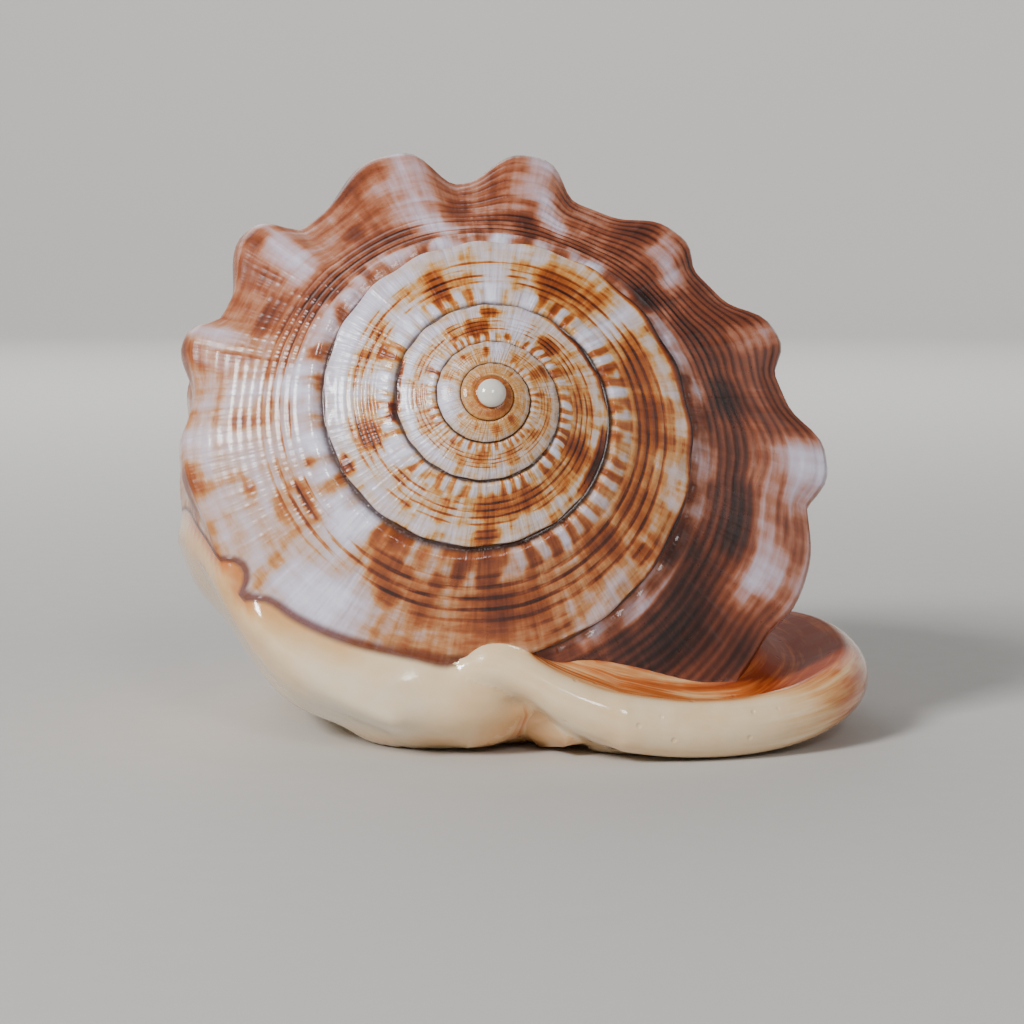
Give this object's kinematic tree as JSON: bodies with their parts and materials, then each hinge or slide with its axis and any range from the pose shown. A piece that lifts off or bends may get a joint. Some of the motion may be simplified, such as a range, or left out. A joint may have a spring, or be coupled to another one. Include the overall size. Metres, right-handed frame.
{
  "type": "helmet seashell",
  "caption": "Large helmet seashell with a low coiled spire, a row of blunt knobs round the shoulder, a glazed shield and a flared, rolled lip beside a long toothed mouth.",
  "frame": {"origin": "centre of the bounding box, at the table plane the shell rests on", "axes": "+Y from the apex of the spire towards the canal, -Z the resting side where the mouth opens, +X the side of the flared lip"},
  "size_m": [0.1256, 0.1428, 0.1044],
  "materials": {
    "shell": "natural shell, wet-looking gloss: orange-brown flames over lilac-white on the whorls, cream to peach-orange glaze on the shield and lip"
  },
  "bodies": {
    "root": {"shell": "shell"}
  },
  "joints": []
}
